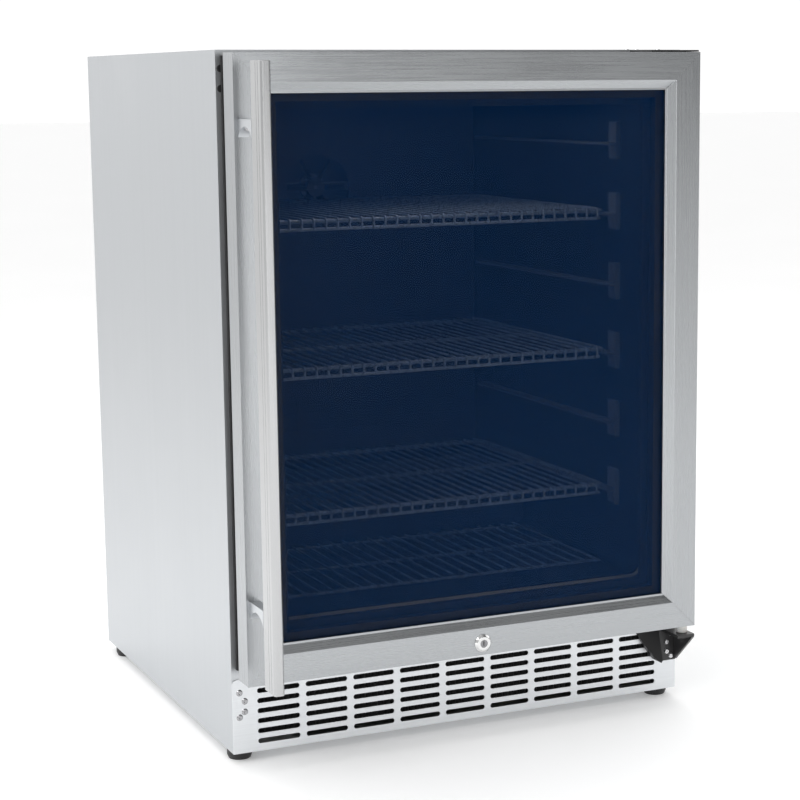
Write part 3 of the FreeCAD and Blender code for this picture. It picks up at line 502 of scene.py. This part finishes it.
# Black moulding that covers the joint between the cabin liner and the front frame.
MOULDING_CORNER = 18 * MM
MOULDING_WIDTH = 5 * MM
CROWN_SINK = 0.1 * MM        # from the flanges' face back to the moulding's crown
FOOT_SINK = 0.4 * MM         # from the front frame's face back to the moulding's foot
liner_low, liner_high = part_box("inner_liner")
frame_low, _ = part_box("front_frame")
joint_low = Vector((liner_low.x, panel_low.y + CROWN_SINK, liner_low.z))
joint_high = Vector((liner_high.x, frame_low.y + FOOT_SINK, liner_high.z))
moulding = bmesh.new()
bead(moulding, joint_low, joint_high, MOULDING_CORNER, MOULDING_WIDTH)
piece("liner_moulding", moulding, "black_plastic")

# Black strips of painted shade in the two grooves along the grip's outer side, standing in for the
# grooves' shadow.
GROOVES = (9 * MM, 16 * MM)              # from the grip's front to each groove
GROOVE_SHADE_ACROSS = (0.45 * MM, 0.78 * MM)    # from the grip's outer side, bottom and face
GROOVE_SHADE_ALONG = (0.05 * MM, 0.95 * MM)     # from the groove's front edge
GROOVE_SHADE_END = 1 * MM
GROOVE_SHADE_CORNER = 0.1 * MM
grip_low, grip_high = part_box("handle_grip")
groove_shade_mesh = bmesh.new()
for groove in GROOVES:
    low, high = (
        Vector((grip_low.x + across, grip_low.y + groove + along, z))
        for across, along, z in zip(
            GROOVE_SHADE_ACROSS, GROOVE_SHADE_ALONG, (grip_low.z + GROOVE_SHADE_END, grip_high.z - GROOVE_SHADE_END))
    )
    plate(groove_shade_mesh, low, high, GROOVE_SHADE_CORNER, steps=2)
piece("grip_groove_shade_strips", groove_shade_mesh, "black_plastic", body="door")


# ---------------------------------------------------------------- trims of the control panel

# The window of the display, between the buttons, and its frame.
DISPLAY_X = 8 * MM
DISPLAY_HALF = Vector((20 * MM, 0, 7 * MM))
FRAME_MARGIN = Vector((2 * MM, 0, 1.6 * MM))
housing_low, housing_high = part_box("control_housing")
display_middle = Vector((DISPLAY_X, housing_low.y, (housing_low.z + housing_high.z) / 2))
for name, half, proud, corner, slot in (
    ("display_window", DISPLAY_HALF, 0.8 * MM, 2.5 * MM, "black_plastic"),
    ("display_frame", DISPLAY_HALF + FRAME_MARGIN, 0.4 * MM, 3.5 * MM, "grey_plastic"),
):
    mesh = bmesh.new()
    plate(mesh, display_middle - half - Vector((0, proud, 0)), display_middle + half, corner)
    piece(name, mesh, slot)

# Two small lamps beside the display.
LAMP_PROFILE = [(1.6, -0.4), (1.6, 0.3), (1.35, 0.8), (0.9, 1.15), (0.4, 1.3), (0, 1.35)]
LAMPS_X = (-62 * MM, -56 * MM)
fittings("indicator_lamps", LAMP_PROFILE, [
    (x, housing_low.y, display_middle.z) for x in LAMPS_X
], FRONT, "white_lens")


# ---------------------------------------------------------------- trims at the back

# Recessed screws along the back panel's sides and top, and at the machine-bay cover's corners.
SCREW_PROFILE = [(4.0, -0.3), (4.0, 0.2), (3.5, 0.8), (2.4, 1.25), (1.1, 1.4), (0.8, 0.6), (0, 0.6)]
SCREW_INSET = 9 * MM
SIDE_GAPS = 4                # gaps between the screws along one side
TOP_PITCH = 140 * MM
back_low, back_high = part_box("back_panel")
cover_low, cover_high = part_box("rear_cover")
side_low = back_low.z + SCREW_INSET
side_length = back_high.z - back_low.z - 2 * SCREW_INSET
spots = []
for side in (-1, 1):
    x = side * (back_high.x - SCREW_INSET)
    heights = [side_low + step * side_length / SIDE_GAPS for step in range(SIDE_GAPS + 1)]
    heights += [cover_low.z + SCREW_INSET, cover_high.z - SCREW_INSET]
    spots += [(x, back_high.y, z) for z in heights]
spots += [(step * TOP_PITCH, back_high.y, back_high.z - SCREW_INSET) for step in (-1, 0, 1)]
fittings("rear_screws", SCREW_PROFILE, spots, BACK, "bright_steel", steps=20)

# Caps over the two ports through which the foam was injected.
CAP_PROFILE = [(13.0, -0.3), (13.0, 0.5), (12.2, 1.0), (9.0, 1.1), (8.4, 0.7), (2.0, 0.7), (0, 0.7)]
CAP_X, CAP_Z = 150 * MM, 560 * MM
fittings("foam_port_caps", CAP_PROFILE, [
    (side * CAP_X, back_high.y, CAP_Z) for side in (-1, 1)
], BACK, "grey_plastic")


# ---------------------------------------------------------------- trim behind the toe grille

# A dark pleated dust filter in front of the condenser.
FILTER_MARGIN = Vector((24 * MM, 0, 10 * MM))
FILTER_GAP = 17 * MM         # from the grille's back to the filter
PLEAT_DEPTH, PLEAT_PITCH, PLEAT_THICKNESS = 5 * MM, 4 * MM, 0.8 * MM
grille_low, grille_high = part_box("toe_grille")
filter_front = grille_high.y + FILTER_GAP
dust_filter = bmesh.new()
pleats(dust_filter, grille_low + FILTER_MARGIN, grille_high - FILTER_MARGIN,
       filter_front, filter_front + PLEAT_DEPTH, PLEAT_PITCH, PLEAT_THICKNESS)
piece("dust_filter", dust_filter, "black_rubber")


# ---------------------------------------------------------------- floor, light and camera

WHITE = (1.0, 1.0, 1.0, 1.0)
FLOOR_HALF = 40.0
FLOOR_CELLS = 8
FLOOR_GLOW = 0.19


def floor():
    """A plain pale floor with a slight glow, so that it meets the background unseen."""
    mesh = bmesh.new()
    bmesh.ops.create_grid(mesh, x_segments=FLOOR_CELLS, y_segments=FLOOR_CELLS, size=FLOOR_HALF)
    data = bpy.data.meshes.new("studio_floor")
    mesh.to_mesh(data)
    mesh.free()
    thing = bpy.data.objects.new("studio_floor", data)
    bpy.context.scene.collection.objects.link(thing)
    finish = Finish("studio_floor", Roughness=0.7)
    cloud = finish.noise(1.5)
    patches = finish.remap(cloud, 0.0, 1.0)
    finish.link(finish.blend(patches, (0.90, 0.90, 0.90), (0.93, 0.93, 0.93)), "Base Color")
    finish.shader.inputs["Emission Color"].default_value = WHITE
    finish.shader.inputs["Emission Strength"].default_value = FLOOR_GLOW
    data.materials.append(finish.material)


floor()

# Strength of the room's light: behind the object, and in front of it from left to right.
ROOM_BEHIND = 1.08
ROOM_LEFT, ROOM_RIGHT = 0.55, 0.10
LEFT_AT, RIGHT_AT = 0.05, 0.60
FRONT_AT, BEHIND_AT = -0.55, 0.25


def studio():
    """A white room, dimmer on the side that the door faces and dimmest at its right."""
    world = bpy.data.worlds.new("studio")
    bpy.context.scene.world = world
    world.use_nodes = True
    tree = world.node_tree
    add, link = tree.nodes.new, tree.links.new
    parts = add("ShaderNodeSeparateXYZ")
    link(add("ShaderNodeTexCoord").outputs["Generated"], parts.inputs[0])
    across, depth = add("ShaderNodeMapRange"), add("ShaderNodeMapRange")
    for ramp, source, numbers in (
        (across, parts.outputs["X"], (LEFT_AT, RIGHT_AT, ROOM_LEFT, ROOM_RIGHT)),
        (depth, parts.outputs["Y"], (FRONT_AT, BEHIND_AT, 0.0, 1.0)),
    ):
        ramp.interpolation_type = "SMOOTHSTEP"
        link(source, ramp.inputs["Value"])
        for socket, number in zip(("From Min", "From Max", "To Min", "To Max"), numbers):
            ramp.inputs[socket].default_value = number
    # A mix node's inputs 0, 2 and 3 are its factor and the two numbers it mixes.
    strength = add("ShaderNodeMix")
    link(depth.outputs["Result"], strength.inputs[0])
    link(across.outputs["Result"], strength.inputs[2])
    strength.inputs[3].default_value = ROOM_BEHIND
    background = tree.nodes["Background"]
    link(strength.outputs[0], background.inputs["Strength"])
    background.inputs["Color"].default_value = WHITE


studio()


def soft_light(name, spot, aim, size, power):
    light = bpy.data.lights.new(name, "AREA")
    light.shape = "RECTANGLE"
    light.size, light.size_y = size
    light.energy = power
    lamp = bpy.data.objects.new(name, light)
    lamp.location = spot
    lamp.rotation_euler = (Vector(aim) - Vector(spot)).to_track_quat("-Z", "Y").to_euler()
    bpy.context.scene.collection.objects.link(lamp)


MIDDLE = (0, 0, 0.4)
LAMP_DROP = 3 * MM           # from the light strip's underside to the lamp in the cabin
CABIN_LOW = 0.2
strip_low, strip_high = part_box("light_strip")
strip_middle = (strip_low + strip_high) / 2
for name, spot, aim, size, power in (
    ("key", (-2.4, -1.8, 2.6), MIDDLE, (2.4, 1.6), 40),
    ("fill", (3.2, -0.6, 2.0), MIDDLE, (2.0, 2.0), 10),
    ("top", (0.0, 0.3, 3.2), MIDDLE, (2.6, 2.6), 30),
    ("front_strip", (0.1, -3.2, 0.9), (-0.2, 0, 0.45), (0.8, 1.8), 9),
    ("cabin_lamp", (strip_middle.x, strip_middle.y, strip_low.z - LAMP_DROP),
     (strip_middle.x, strip_middle.y, CABIN_LOW), (0.36, 0.02), 0.25),
):
    soft_light(name, spot, aim, size, power)

CAMERA_SPOT = (-1.0026, -2.3603, 0.7827)
CAMERA_TURN = (80.998, 0.411, -25.328)     # degrees about X, Y and Z
SENSOR_WIDTH, FOCAL_LENGTH = 36.0, 90.53   # millimetres
LENS_SHIFT = (-0.0905, 0.0009)
camera_data = bpy.data.cameras.new("camera")
camera_data.sensor_width = SENSOR_WIDTH
camera_data.lens = FOCAL_LENGTH
camera_data.shift_x, camera_data.shift_y = LENS_SHIFT
camera = bpy.data.objects.new("camera", camera_data)
camera.location = CAMERA_SPOT
camera.rotation_euler = Euler([math.radians(turn) for turn in CAMERA_TURN])
bpy.context.scene.collection.objects.link(camera)
bpy.context.scene.camera = camera
bpy.context.scene.view_settings.view_transform = "Standard"
